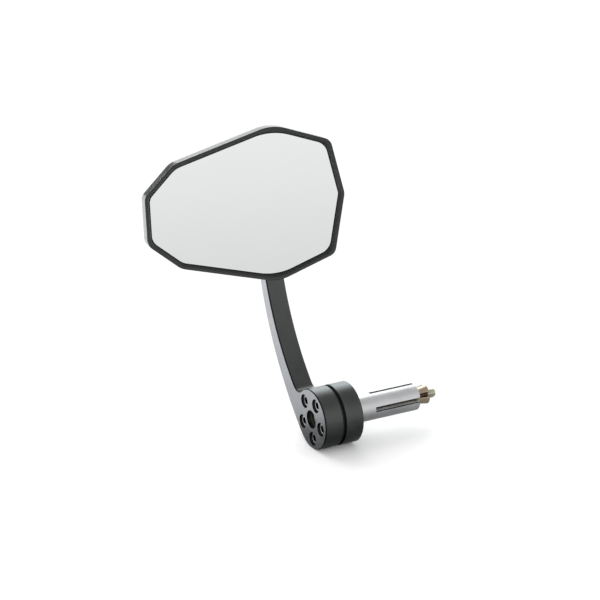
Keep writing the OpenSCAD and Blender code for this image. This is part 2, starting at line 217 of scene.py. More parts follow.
@dataclass(frozen=True)
class EdgedBlockFinish(Finish):
    """Black anodised block with darker broken edges, whose outer flats are skimmed to satin grey.

    How far the surface's own normal points along X, from 0 to 1, tells a flat from an edge and
    from a side. Flats count as skimmed where they face the open: in front of a plane, or outside
    a radius round the X axis. Lower down the flats take a darker finish: painted shade that
    grows towards the bottom. A narrow strip of the sides beside the front flat is as dark as the
    broken edge.
    """

    sides: MetalFinish
    edges: MetalFinish
    flats: MetalFinish
    # painted shade: the darker finish that the flats take lower down
    root: MetalFinish
    flat_from: tuple[float, float] = (0.93, 0.98)
    edge_from: tuple[float, float] = (0.35, 0.5)
    edge_to: tuple[float, float] = (0.85, 0.93)
    open_x: float = -24.9
    open_r: float = 18.3
    # heights in mm over which the painted shade gives way to the lighter flats
    painted_shade_z: tuple[float, float] = (-20.0, 46.0)
    rim_x: tuple[float, float] = (-24.6, -24.3)

    def skin(self, tree: NodeTree, coords: bpy_prop_collection) -> NodeSocket:
        """Builds the surface's shader.

        Args:
            tree: The material's node tree.
            coords: The outputs of a Texture Coordinate node.

        Returns:
            The shader's output.
        """
        where = coords["Object"]
        facing = add_node(tree, "SeparateXYZ", inputs=(coords["Normal"],))
        along = add_node(tree, "Math", {"operation": "ABSOLUTE"}, (
            facing.outputs[0],)).outputs[0]
        x, _, z = add_node(tree, "SeparateXYZ", inputs=(where,)).outputs
        across = add_node(tree, "VectorMath", {"operation": "MULTIPLY"}, (
            where, (0.0, 1.0, 1.0)))
        radius = add_node(tree, "VectorMath", {"operation": "LENGTH"}, (
            across.outputs[0],)).outputs["Value"]
        flat, edge_starts, edge_ends, rim, height = (
            add_node(tree, "MapRange", inputs=(value, *limits, *ends)).outputs[0]
            for value, limits, ends in (
                (along, self.flat_from, (0.0, 1.0)), (along, self.edge_from, (0.0, 1.0)),
                (along, self.edge_to, (1.0, 0.0)),
                (x, [v * MM for v in self.rim_x], (1.0, 0.0)),
                (z, [v * MM for v in self.painted_shade_z], (0.0, 1.0))))
        front = add_node(tree, "Math", {"operation": "LESS_THAN"}, (
            x, self.open_x * MM))
        outside = add_node(tree, "Math", {"operation": "GREATER_THAN"}, (
            radius, self.open_r * MM))
        open_air = add_node(tree, "Math", {"operation": "MAXIMUM"}, (
            front.outputs[0], outside.outputs[0]))
        skimmed = add_node(tree, "Math", {"operation": "MULTIPLY"}, (
            flat, open_air.outputs[0]))
        lines = add_node(tree, "Math", {"operation": "MAXIMUM"}, (edge_starts, rim))
        edge = add_node(tree, "Math", {"operation": "MULTIPLY"}, (
            lines.outputs[0], edge_ends))
        black = add_node(tree, "MixShader", inputs=(
            edge.outputs[0], self.sides.skin(tree, coords), self.edges.skin(tree, coords)))
        # height mixes the flats from painted shade low down to the lighter finish higher up
        grey = add_node(tree, "MixShader", inputs=(
            height, self.root.skin(tree, coords), self.flats.skin(tree, coords)))
        return add_node(tree, "MixShader", inputs=(
            skimmed.outputs[0], black.outputs[0], grey.outputs[0])).outputs[0]


@dataclass(frozen=True)
class MouldedPlastic(Finish):
    """A moulded or foamed plastic: one tone with fine grain and a soft sheen."""

    tone: str
    tone_2: str
    roughness: float
    grain_mm: float = 0.5
    bump: float = 0.2
    spread: float = 0.06
    pit_mm: float = 0.05

    def skin(self, tree: NodeTree, coords: bpy_prop_collection) -> NodeSocket:
        """Builds the surface's shader.

        Args:
            tree: The material's node tree.
            coords: The outputs of a Texture Coordinate node.

        Returns:
            The shader's output.
        """
        cells = add_node(tree, "TexNoise", inputs={
            "Vector": coords["Object"], "Scale": 1.0 / (self.grain_mm * MM),
            "Detail": 4.0}).outputs["Fac"]
        tone = add_node(tree, "Mix", {"data_type": "RGBA"}, {
            0: cells, MIX_A: linear(self.tone), MIX_B: linear(self.tone_2)})
        rough = add_node(tree, "MapRange", inputs=(
            cells, 0.0, 1.0, self.roughness - self.spread, self.roughness + self.spread))
        pits = add_node(tree, "Bump", inputs={
            "Strength": self.bump, "Distance": self.pit_mm * MM, "Height": cells})
        return add_node(tree, "BsdfPrincipled", inputs={
            "Base Color": tone.outputs[MIX_OUT], "Roughness": rough.outputs[0],
            "Normal": pits.outputs[0]}).outputs[0]


@dataclass(frozen=True)
class SilveredGlass(Finish):
    """Flat float glass silvered behind: a near perfect reflection with a faint green grey cast.

    The face is polished, under a thin uneven film of haze. The ground edge, where the surface
    turns away from the face, is rougher and greener.
    """

    tone: str
    edge_tone: str
    face_normal: tuple[float, float, float]
    face_from: tuple[float, float] = (0.8, 0.98)
    edge_roughness: float = 0.3
    haze_mm: float = 22.0
    haze: tuple[float, float] = (0.012, 0.03)

    def skin(self, tree: NodeTree, coords: bpy_prop_collection) -> NodeSocket:
        """Builds the surface's shader.

        Args:
            tree: The material's node tree.
            coords: The outputs of a Texture Coordinate node.

        Returns:
            The shader's output.
        """
        facing = add_node(tree, "VectorMath", {"operation": "DOT_PRODUCT"}, (
            coords["Normal"], self.face_normal))
        edge = add_node(tree, "MapRange", inputs=(
            facing.outputs["Value"], *self.face_from, 1.0, 0.0)).outputs[0]
        haze = add_node(tree, "TexNoise", inputs={
            "Vector": coords["Object"], "Scale": 1.0 / (self.haze_mm * MM), "Detail": 2.0})
        film = add_node(tree, "MapRange", inputs=(
            haze.outputs["Fac"], 0.0, 1.0, *self.haze))
        rough = add_node(tree, "Math", {"operation": "MULTIPLY_ADD"}, (
            edge, self.edge_roughness, film.outputs[0]))
        tone = add_node(tree, "Mix", {"data_type": "RGBA"}, {
            0: edge, MIX_A: linear(self.tone), MIX_B: linear(self.edge_tone)})
        return add_node(tree, "BsdfPrincipled", inputs={
            "Base Color": tone.outputs[MIX_OUT], "Metallic": 1.0,
            "Roughness": rough.outputs[0]}).outputs[0]


# Hard black anodising over fine glass bead: a dark, slightly warm grey with a satin glow.
BLACK_ANODISED = MetalFinish("black_anodised_bead_blasted", "#434645", "#505251", 0.36,
                             grain_mm=0.45, bump=0.25, coat=0.6, coat_roughness=0.3)
# The head's own skin is smoother: its sides flash where the light grazes them.
HEAD_ANODISED = MetalFinish("black_anodised_smooth", "#2f3131", "#383a39", 0.26,
                            grain_mm=0.45, bump=0.12, coat=0.5, coat_roughness=0.15, spread=0.05)
# Broken edges: nearly black lines, darker than the sides.
DARK_EDGES = MetalFinish("black_anodised_edges", "#1a1b1b", "#222323", 0.4, bump=0.05)
# Flats skimmed and belt brushed: light satin grey with fine marks along the arm.
SKIMMED = MetalFinish("satin_brushed_flats", "#a3a5a8", "#b6b7ba", 0.4, Grain.BRUSHED,
                      grain_mm=0.45, bump=0.3, slant_deg=12)
# The same flats lower down, with a blasted grain: a darker, more mottled grey that paints shade.
SKIMMED_PAINTED_LOW_SHADE = MetalFinish("satin_flats_painted_low_shade", "#7c7e82", "#919397", 0.42, grain_mm=0.5,
                           bump=0.35, spread=0.1)
# The arm's block: black sides, nearly black edges, and flats with painted shade lower down.
ARM_FINISH = EdgedBlockFinish("black_anodised_with_skimmed_flats", BLACK_ANODISED, DARK_EDGES,
                              SKIMMED, SKIMMED_PAINTED_LOW_SHADE)
# Bare aluminium bar, turned: bright and white, with rings from the lathe.
TURNED_ALUMINIUM = MetalFinish("turned_bare_aluminium", "#cecfd0", "#dfe0e1", 0.38, Grain.TURNED,
                               grain_mm=0.3, bump=0.22)
# The screws' sockets: near black, painted shade in the recesses, so they stay dark inside bright
# heads.
SOCKET_PAINTED_SHADE = MetalFinish("socket_painted_shade", "#1b1b1c", "#28282a", 0.5, bump=0.2)
# The nut's grooves: a dark red brown, painted shade between the lobes.
NUT_GROOVE_PAINTED_SHADE = MetalFinish("nut_grooves_painted_shade", "#68493f", "#513d32", 0.35, bump=0.2)
# The slots' walls: rough, so they catch light from outside the slot, and lighter than the bar:
# painted light.
SLOT_WALL_PAINTED_LIGHT = MetalFinish("slot_walls_painted_light", "#e4e4e2", "#f0f0ee", 0.75, grain_mm=0.25, bump=0.5)
# The slots' broken edges: dull dark lines of painted shade.
SLOT_EDGE_PAINTED_SHADE = MetalFinish("slot_edges_painted_shade", "#20201f", "#30302f", 0.5, bump=0.1)
# Steel with yellow passivated zinc: gold with a pink and green cast.
YELLOW_ZINC = MetalFinish("yellow_zinc_plate", "#d6c1ac", "#b4a88f", 0.2, grain_mm=0.8, bump=0.08)
# Steel bolt with dull zinc: grey with an olive cast.
DULL_ZINC = MetalFinish("dull_zinc_plate", "#e4e2d6", "#cecdc0", 0.3, grain_mm=0.6, bump=0.12)
# Stainless socket screws: plain grey steel with a soft gleam.
STAINLESS = MetalFinish("stainless_screw_steel", "#cfd0d1", "#bdbebf", 0.36, grain_mm=0.4,
                        bump=0.1)
# Black acetal spacer in the groove: matt and very dark.
BLACK_ACETAL = MouldedPlastic("black_acetal", "#0e0e0e", "#161616", 0.6)
# Painted shade on the rim's inner wall round the glass: matt and very dark.
RIM_GAP_PAINTED_SHADE = MouldedPlastic("rim_gap_painted_shade", "#0c0d0d", "#141515", 0.55)
# Natural nylon of the ball's liner: milky and waxy.
NATURAL_NYLON = MouldedPlastic("natural_nylon", "#dcd8c8", "#e6e2d4", 0.42)
# Closed cell foam tape behind the glass: black with small pores.
FOAM_TAPE = MouldedPlastic("black_foam_tape", "#151515", "#222222", 0.85, 0.8, 0.5)


# ---------------------------------------------------------------- surfaces from arrays
# How near points count as one, and how short an edge counts as none, in metres.
SAME_POINT, NO_EDGE = 2e-6, 1e-7
# The rows of faces in a screw's socket, from its drilled floor to its mouth.
# These faces take the sockets' painted shade.
SOCKET_ROWS = slice(0, 4)
ALL = slice(None)


def surface(name: str, points: np.ndarray, finish: Material, sharp_deg: float = 28.0,
            patches: list[tuple[np.ndarray, Material]] | None = None) -> Object:
    """Makes a piece from one or more closed grids of points.

    Each grid has rows along the profile and columns round it, and its columns close on
    themselves. A first or last row whose points are all one point is a pole. Points that fall
    together are merged, and edges sharper than the limit are shaded sharp.

    Args:
        name: The piece's name.
        points: Array of shape grids by rows by columns by 3, in metres.
        finish: The piece's material.
        sharp_deg: The angle from which an edge is shaded sharp.
        patches: Faces with a finish of their own, each as the array that faces_of gives and a
            material.

    Returns:
        The new object, at the origin.
    """
    grids, rows, cols, _ = points.shape
    index = np.arange(grids * rows * cols).reshape(grids, rows, cols)
    nxt = np.roll(index, -1, axis=2)
    quads = np.stack([index[:, :-1], nxt[:, :-1], nxt[:, 1:], index[:, 1:]], axis=-1)
    mesh = bpy.data.meshes.new(name)
    mesh.from_pydata(points.reshape(-1, 3), [], quads.reshape(-1, 4))
    mesh.materials.append(finish)
    slots = np.zeros((grids, rows - 1, cols), np.int32)
    for number, (marked, other) in enumerate(patches or (), start=1):
        slots[:, marked] = number
        mesh.materials.append(other)
    mesh.polygons.foreach_set("material_index", slots.reshape(-1))
    work = bmesh.new()
    work.from_mesh(mesh)
    bmesh.ops.remove_doubles(work, verts=work.verts, dist=SAME_POINT)
    bmesh.ops.dissolve_degenerate(work, edges=work.edges, dist=NO_EDGE)
    bmesh.ops.recalc_face_normals(work, faces=work.faces)
    work.to_mesh(mesh)
    work.free()
    mesh.shade_smooth()
    mesh.set_sharp_from_angle(angle=math.radians(sharp_deg))
    piece = bpy.data.objects.new(name, mesh)
    bpy.context.scene.collection.objects.link(piece)
    return piece


def stand_for(piece: Object, node: str, body: str) -> None:
    """Shows a new piece in place of a packed one.

    Args:
        piece: The new piece.
        node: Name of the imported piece.
        body: The body that it rides.
    """
    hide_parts(node)
    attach(piece, body)


def faces_of(grid: np.ndarray, rows: slice, cols: slice | list[int] | np.ndarray = ALL
             ) -> np.ndarray:
    """Marks some faces of a grid of points.

    Args:
        grid: The points, with rows and columns before the last axis.
        rows: Which rows of faces.
        cols: Which columns of faces.

    Returns:
        Array of rows less one by columns that is true on those faces.
    """
    marked = np.zeros((grid.shape[-3] - 1, grid.shape[-2]), bool)
    marked[rows, cols] = True
    return marked


def turned(x: np.ndarray, radius: np.ndarray, cols: int) -> np.ndarray:
    """Carries a profile round the X axis.

    The point at angle a is X, radius times cosine of a, radius times sine of a.

    Args:
        x: Array of rows, places along X.
        radius: Array of rows by 1, or rows by columns where it changes round the axis.
        cols: How many points go round.

    Returns:
        Array of rows by columns by 3, in the sizes' own unit.
    """
    angle = np.arange(cols) / cols * TAU
    return np.stack([x[:, None] + 0 * angle, radius * np.cos(angle), radius * np.sin(angle)],
                    axis=-1)


def set_round(piece: np.ndarray, radius: float, first_deg: float, count: int) -> np.ndarray:
    """Sets copies of a piece on a circle round the X axis, each turned with its place.

    The copy at angle a has its own Y axis along the circle's radius: the point X, Y, Z goes to
    X, (radius + Y) cosine a - Z sine a, (radius + Y) sine a + Z cosine a.

    Args:
        piece: Array of rows by columns by 3.
        radius: The circle's radius.
        first_deg: The first copy's angle.
        count: How many copies.

    Returns:
        Array of copies by rows by columns by 3.
    """
    angle = np.radians(first_deg + np.arange(count) * 360 / count)[:, None, None]
    c, s = np.cos(angle), np.sin(angle)
    x, y, z = piece[None, ..., 0], radius + piece[None, ..., 1], piece[None, ..., 2]
    return np.stack([x + 0 * c, y * c - z * s, y * s + z * c], axis=-1)


def hexagon(angle: np.ndarray, flats: float) -> np.ndarray:
    """Gives a hexagon's radius at each angle.

    It is half the width over the cosine of the angle from the middle of the nearest flat.

    Args:
        angle: Angles in radians.
        flats: Width across the flats.

    Returns:
        The radius at each angle.
    """
    sixth = TAU / 6
    return flats / 2 / np.cos((angle + sixth / 2) % sixth - sixth / 2)


@dataclass
class SocketScrew:
    """A cap screw along +X from the top of its head, with a hexagon socket and a thread.

    Lengths are millimetres. The thread is a helix: the radius at a place along X and an angle
    falls below the crest by the depth times a rounded wave of their turn. Its depth, run in and
    run out are shares of the pitch, and the tip is a dome.
    """

    head_r: float
    head_h: float
    shank_r: float
    length: float
    key: float
    key_depth: float
    pitch: float
    thread_from: float
    cols: int
    drill: float = 0.5
    corner_wear: float = 0.985
    mouth: float = 0.12
    mouth_x: tuple[float, float] = (0.28, 0.12)
    skirt_edge: float = 0.15
    thread_depth: float = 0.55
    thread_round: float = 1.3
    run_in: float = 2.0
    run_out: float = 1.2
    dome: float = 0.2
    dome_rows: int = 6
    rows_per_turn: int = 8

    def head(self, angle: np.ndarray) -> tuple[np.ndarray, np.ndarray]:
        """Works out the socket and the head, from the drilled floor to the head's underside.

        Args:
            angle: The angles round the axis.

        Returns:
            The rows' places along X, and their radii as rows by columns.
        """
        corner = self.key / math.sqrt(3)
        socket = np.minimum(hexagon(angle, self.key), self.corner_wear * corner)
        mouth = corner + self.mouth
        edge = 0.05 * self.head_r + 0.1
        rows = ((self.key_depth + self.drill, 0.0), (self.key_depth, 0.75 * socket),
                (self.key_depth, socket), (self.mouth_x[0], socket), (self.mouth_x[1], mouth),
                (0.0, mouth + 0.1), (0.0, self.head_r - edge),
                (0.3 * edge, self.head_r - 0.3 * edge), (edge, self.head_r),
                (self.head_h - self.skirt_edge, self.head_r),
                (self.head_h, self.head_r - self.skirt_edge), (self.head_h, self.shank_r))
        return (np.array([x for x, _ in rows]),
                np.array([radius + 0 * angle for _, radius in rows]))

    def grid(self) -> np.ndarray:
        """Works out the screw's surface.

        Returns:
            Array of rows by columns by 3, in millimetres, with the head's top at X 0.
        """
        angle = np.arange(self.cols) / self.cols * TAU
        head_x, head_r = self.head(angle)
        plain = self.head_h + self.thread_from
        end = self.head_h + self.length - self.dome * self.shank_r
        steps = max(int((end - plain) / self.pitch * self.rows_per_turn), self.rows_per_turn)
        along = np.linspace(plain, end, steps)
        turn = along[:, None] / self.pitch - angle[None, :] / TAU
        wave = (0.5 - 0.5 * np.cos(TAU * turn)) ** self.thread_round
        run_in = np.clip((along - plain) / (self.run_in * self.pitch), 0, 1)[:, None]
        tip = np.clip((end - along) / (self.run_out * self.pitch), 0, 1)[:, None]
        thread_r = self.shank_r - self.thread_depth * self.pitch * wave * run_in
        dome = np.linspace(0.15, 1, self.dome_rows)[:, None] * math.pi / 2
        x = np.concatenate([head_x, [plain], along,
                            end + self.dome * self.shank_r * np.sin(dome[:, 0])])
        radius = np.concatenate([head_r, self.shank_r + 0 * angle[None],
                                 thread_r * (0.84 + 0.16 * tip),
                                 0.8 * self.shank_r * np.cos(dome) + 0 * angle[None]])
        return turned(x, radius, self.cols)


# ---------------------------------------------------------------- the mirror head
# The rows of the housing's faces with painted shade, from the seat's wall to the rim's slope.
RIM_SHADE_ROWS = slice(2, 6)


@dataclass
class MirrorHead:
    """The angular housing with its rim, the glass, the pad and the ring that closes the socket.

    Lengths are millimetres. The head's own axes run across, up and out of the glass from the
    ball's centre. A corner is its place across and up and its radius, and the glass has radii of
    its own at the same corners. A height is along the way out of the glass.
    """

    ball: tuple[float, float, float] = (-19.2, 52.9, 115.0)
    turn_deg: float = -13.5
    tilt_deg: float = 13.0
    corners: tuple = ((-82.4, 13.3, 6), (-82.4, -14.2, 7), (-63.8, -29.2, 12), (-7.6, -41.8, 24),
                      (27, -28.4, 6), (34.4, 6.1, 8), (27.7, 37.7, 6), (-6.1, 49, 25),
                      (-65, 30.8, 12))
    glass_n: float = 20.6
    glass_t: float = 2.0
    pad_t: float = 0.8
    rim_h: float = 2.7
    rim_w: float = 1.75
    rim_in: float = 3.0
    # The rim's inner slope: past the rim's width, below the rim's top, and how round its corners.
    rim_slope: tuple = ((0.12, 0.2, 0.75), (0.02, 0.05, 0.7), (-0.1, 0.0, 0.65))
    # The rim's outer edge: inset and below the rim's top. Then the side's foot: inset and rise.
    rim_edge: tuple = ((0.42, 0.0), (0.22, 0.07), (0.07, 0.22), (0.0, 0.45))
    side_foot: tuple = ((0.0, 0.25), (0.07, 0.02), (0.4, -0.12))
    seat_middle_r: float = 8.0
    side_h: float = 10.2
    slope_h: float = 2.4
    slope_w: float = 9.0
    boss_r: float = 16.5
    # Where the back runs into the boss: past the boss's radius, and rise above the back.
    boss_run_in: tuple = ((4.6, 0.0), (3.6, -0.25))
    boss_fillet: tuple[float, float] = (3.5, 4.7)
    boss_edge: float = 0.3
    cup_r: float = 10.46
    cup_ease: float = 0.1
    cup_rows: int = 20
    ring_n: float = -1.5
    ring_screw_r: float = 13.5
    ring_screw_n: float = -5.4
    ring_screw_deg: float = 90.0
    ring_screws: int = 3
    ring_screw: SocketScrew = field(default_factory=lambda: SocketScrew(
        head_r=2.75, head_h=1.9, shank_r=1.5, length=8.5, key=2.0, key_depth=1.2, pitch=0.5,
        thread_from=1.0, cols=36))
    inner_r: tuple = (6, 7, 10, 34, 9, 3, 8, 34, 14)
    glass_gap: float = 0.12
    glass_edges: tuple[float, float] = (0.25, 0.2)
    glass_middle_r: float = 9.0
    arc_points: int = 17
    side_points: int = 7

    def axes(self) -> tuple[np.ndarray, np.ndarray, np.ndarray]:
        """Gives the head's three axes in the part's frame.

        Returns:
            The directions across, up and out of the glass.
        """
        a, e = math.radians(self.turn_deg), math.radians(self.tilt_deg)
        across = np.array([math.cos(a), math.sin(a), 0.0])
        out = np.array([math.sin(a) * math.cos(e), -math.cos(a) * math.cos(e), math.sin(e)])
        return across, np.cross(out, across), out

    def place(self, local: np.ndarray) -> np.ndarray:
        """Turns points on the head's own axes, in millimetres, to the part's frame in metres."""
        across, up, out = self.axes()
        flat = local @ np.stack([across, up, out])
        return (flat + np.array(self.ball)) * MM

    def outline(self, inset: float, soft: float = 0.0) -> np.ndarray:
        """Works out the rounded outline, moved inwards.

        Each corner is an arc about the centre that its radius gives. Moved in, the arc's radius
        shrinks to nothing, and is blended towards the rounder corner of the glass. The arc's
        centre lies on the corner's bisector, as far in as the inset and the radius together.
        The sides between arcs are cut into equal steps.

        Args:
            inset: How far inside the head's edge, in millimetres.
            soft: 0 for the head's own corners to 1 for the glass's rounder ones.

        Returns:
            Array of columns by 2: across and up.
        """
        pts = np.array([c[:2] for c in self.corners], float)
        rad = np.array([c[2] for c in self.corners], float)
        way = np.roll(pts, -1, axis=0) - pts
        way /= np.linalg.norm(way, axis=1)[:, None]
        inward = np.stack([-way[:, 1], way[:, 0]], axis=1)
        before = np.roll(inward, 1, axis=0)
        mitre = (before + inward) / (1 + np.sum(before * inward, axis=1))[:, None]
        left = np.maximum(rad - inset, 0.0) * (1 - soft) + np.array(self.inner_r, float) * soft
        centre = pts + (inset + left)[:, None] * mitre
        start = np.arctan2(-before[:, 1], -before[:, 0])
        sweep = (np.arctan2(-inward[:, 1], -inward[:, 0]) - start) % TAU
        part = np.linspace(0, 1, self.arc_points)
        angle = start[:, None] + sweep[:, None] * part[None]
        arcs = centre[:, None] + left[:, None, None] * np.stack([np.cos(angle), np.sin(angle)], -1)
        step = (np.arange(self.side_points) + 1) / (self.side_points + 1)
        ends, nexts = arcs[:, -1], np.roll(arcs[:, 0], -1, axis=0)
        sides = ends[:, None] + step[None, :, None] * (nexts - ends)[:, None]
        return np.concatenate([arcs, sides], axis=1).reshape(-1, 2)

    def rows(self, stations: list[tuple[float, float, float]]) -> np.ndarray:
        """Carries a profile along the outline.

        Args:
            stations: For each row, its inset, its height and how round its corners are.

        Returns:
            Array of rows by columns by 3 on the head's own axes.
        """
        flat = np.stack([self.outline(inset, soft) for inset, _, soft in stations])
        height = np.array([n for _, n, _ in stations])[:, None] + np.zeros(flat.shape[1])
        return np.concatenate([flat, height[..., None]], axis=-1)

    def hub(self, stations: list[tuple[float, float]], like: np.ndarray) -> np.ndarray:
        """Makes circles about the head's own axis, at the angles of a row of the outline.

        Args:
            stations: For each row, its radius and its height.
            like: The row of the outline whose angles are kept.

        Returns:
            Array of rows by columns by 3 on the head's own axes.
        """
        angle = np.arctan2(like[:, 1], like[:, 0])
        r = np.array([s[0] for s in stations])[:, None]
        n = np.array([s[1] for s in stations])[:, None] + 0 * angle
        return np.stack([r * np.cos(angle), r * np.sin(angle), n], axis=-1)

    def housing_grid(self) -> np.ndarray:
        """Works out the housing as one closed skin.

        It starts in the middle of the glass's seat, runs out to the seat's wall, up the slanted
        inside of the rim, black with painted shade, over the flat rim and its rounded edge, down
        the side, along the sloping back to the round boss, and into the ball's cup.

        Returns:
            Array of 1 by rows by columns by 3, in metres.
        """
        rim = self.glass_n + self.rim_h
        side = rim - self.side_h
        back = side - self.slope_h
        floor = self.glass_n - self.glass_t - self.pad_t
        front = self.rows([
            (self.rim_in, floor, 1), (self.rim_in, self.glass_n - 0.1, 1),
            (self.rim_in - 0.1, self.glass_n, 1),
            *((self.rim_w + inset, rim - drop, soft) for inset, drop, soft in self.rim_slope),
            *((inset, rim - drop, 0) for inset, drop in self.rim_edge),
            *((inset, side + rise, 0) for inset, rise in self.side_foot),
            (0.5 * self.slope_w, side - 0.5 * self.slope_h - 0.03, 0),
            (self.slope_w - 0.4, back + 0.1, 0), (self.slope_w + 0.4, back, 0)])
        seat = self.hub([(0.0, floor), (self.seat_middle_r, floor)], front[0])
        cup = np.linspace(0, math.pi / 2, self.cup_rows)
        hollow = self.cup_r + self.cup_ease
        wide, tall = self.boss_fillet
        boss = self.hub(
            [(self.boss_r + out, back + rise) for out, rise in self.boss_run_in]
            + [(self.boss_r + wide * (1 - math.sin(t)),
                back - self.boss_edge - tall * (1 - math.cos(t)))
               for t in np.linspace(0.15, math.pi / 2, 7)]
            + [(self.boss_r, self.ring_n + self.boss_edge),
               (self.boss_r - self.boss_edge, self.ring_n), (hollow, self.ring_n)]
            + [(hollow * math.cos(t), hollow * math.sin(t)) for t in cup], front[-1])
        return self.place(np.concatenate([seat, front, boss]))[None]

    def glass_grid(self) -> np.ndarray:
        """Works out the glass: a flat plate with a small ground edge, closed in its middle.

        Returns:
            Array of 1 by rows by columns by 3, in metres.
        """
        top, low = self.glass_n, self.glass_n - self.glass_t
        rim = self.rim_in + self.glass_gap
        behind, before = self.glass_edges
        plate = self.rows([(rim + behind, low, 1), (rim, low + behind, 1),
                           (rim, top - before, 1), (rim + before, top, 1)])
        below = self.hub([(0.0, low), (self.glass_middle_r, low)], plate[0])
        above = self.hub([(self.glass_middle_r, top), (0.0, top)], plate[-1])
        return self.place(np.concatenate([below, plate, above]))[None]

    def ring_screw_grid(self) -> np.ndarray:
        """Places the ring's screws round the ball, heads away from the glass.

        Returns:
            Array of screws by rows by columns by 3, in metres.
        """
        screws = set_round(self.ring_screw.grid(), self.ring_screw_r, self.ring_screw_deg,
                           self.ring_screws)
        return self.place(screws[..., [1, 2, 0]] + np.array([0.0, 0.0, self.ring_screw_n]))

    def build(self, dress: "Wardrobe") -> list[Object]:
        """Builds and dresses the head.

        Args:
            dress: The finished materials.

        Returns:
            The new pieces.
        """
        _, _, out = self.axes()
        glass = SilveredGlass("silvered_float_glass", "#fbfdfc", "#9fb5ac", tuple(out)).build()
        skin = self.housing_grid()
        # the rim's inner wall takes painted shade
        housing = surface("head_housing", skin, dress.head,
                          patches=[(faces_of(skin, RIM_SHADE_ROWS), dress.rim_gap_shade)])
        plate = surface("mirror_plate", self.glass_grid(), glass, 20)
        screws = surface("socket_ring_screws", self.ring_screw_grid(), dress.stainless)
        stand_for(housing, "mirror_housing", "head")
        stand_for(plate, "mirror_glass", "head")
        stand_for(screws, "ring_screws", "head")
        housing.modifiers.new("even_normals", "WEIGHTED_NORMAL").keep_sharp = True
        dress.node("glass_pad", dress.foam)
        dress.node("socket_ring", dress.head)
        return [housing, plate, screws]


# ---------------------------------------------------------------- the other sub-assemblies
class Wardrobe:
    """All finishes, built once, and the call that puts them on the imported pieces."""

    def __init__(self) -> None:
        """Builds every finish."""
        self.head = HEAD_ANODISED.build()
        # painted shade for the rim's inner wall
        self.rim_gap_shade = RIM_GAP_PAINTED_SHADE.build()
        self.arm = ARM_FINISH.build()
        self.bare = TURNED_ALUMINIUM.build()
        # painted light for the slot walls
        self.milled = SLOT_WALL_PAINTED_LIGHT.build()
        # painted shade for the sockets
        self.socket = SOCKET_PAINTED_SHADE.build()
        # painted shade for the nut's grooves
        self.gold_groove_shade = NUT_GROOVE_PAINTED_SHADE.build()
        # painted shade for the slots' broken edges
        self.slot_edge_shade = SLOT_EDGE_PAINTED_SHADE.build()
        self.gold = YELLOW_ZINC.build()
        self.zinc = DULL_ZINC.build()
        self.stainless = STAINLESS.build()
        self.acetal = BLACK_ACETAL.build()
        self.nylon = NATURAL_NYLON.build()
        self.foam = FOAM_TAPE.build()

    def node(self, name: str, finish: Material) -> None:
        """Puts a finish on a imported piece.

        Args:
            name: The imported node's name.
            finish: The material to show on it.
        """
        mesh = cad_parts[name].data
        if not mesh.materials:
            mesh.materials.append(finish)
        for i in range(len(mesh.materials)):
            mesh.materials[i] = finish
        log.info("dressed %s in %s", name, finish.name)


@dataclass
class ClampArm:
    """The curved arm on its root disc, the spacer, the rear disc and the ring of cap screws.

    Lengths are millimetres. The screws lie on a circle round the X axis.
    """

    pitch_r: float = 11.8
    first_deg: float = 44.5
    count: int = 5
    head_x: float = -24.0
    screw: SocketScrew = field(default_factory=lambda: SocketScrew(
        head_r=3.6, head_h=4.0, shank_r=2.0, length=16.4, key=3.6, key_depth=3.0, pitch=0.7,
        thread_from=5.0, cols=48))

    def screw_grid(self) -> np.ndarray:
        """Places the clamp screws on their circle about the X axis.

        Returns:
            Array of screws by rows by columns by 3, in metres.
        """
        screws = set_round(self.screw.grid(), self.pitch_r, self.first_deg, self.count)
        return (screws + np.array([self.head_x, 0.0, 0.0])) * MM

    def build(self, dress: Wardrobe) -> list[Object]:
        """Builds and dresses the arm and its discs.

        Args:
            dress: The finished materials.

        Returns:
            The new pieces.
        """
        grid = self.screw_grid()
        # the sockets inside the heads take painted shade
        screws = surface("clamp_cap_screws", grid, dress.stainless,
                         patches=[(faces_of(grid, SOCKET_ROWS), dress.socket)])
        stand_for(screws, "clamp_screws", "arm")
        dress.node("mirror_arm", dress.arm)
        dress.node("rear_disc", dress.arm)
        dress.node("spacer_disc", dress.acetal)
        return [screws]


# The rows of the cone nut's faces on its near end and its outside.
NUT_OUTSIDE = slice(0, 6)


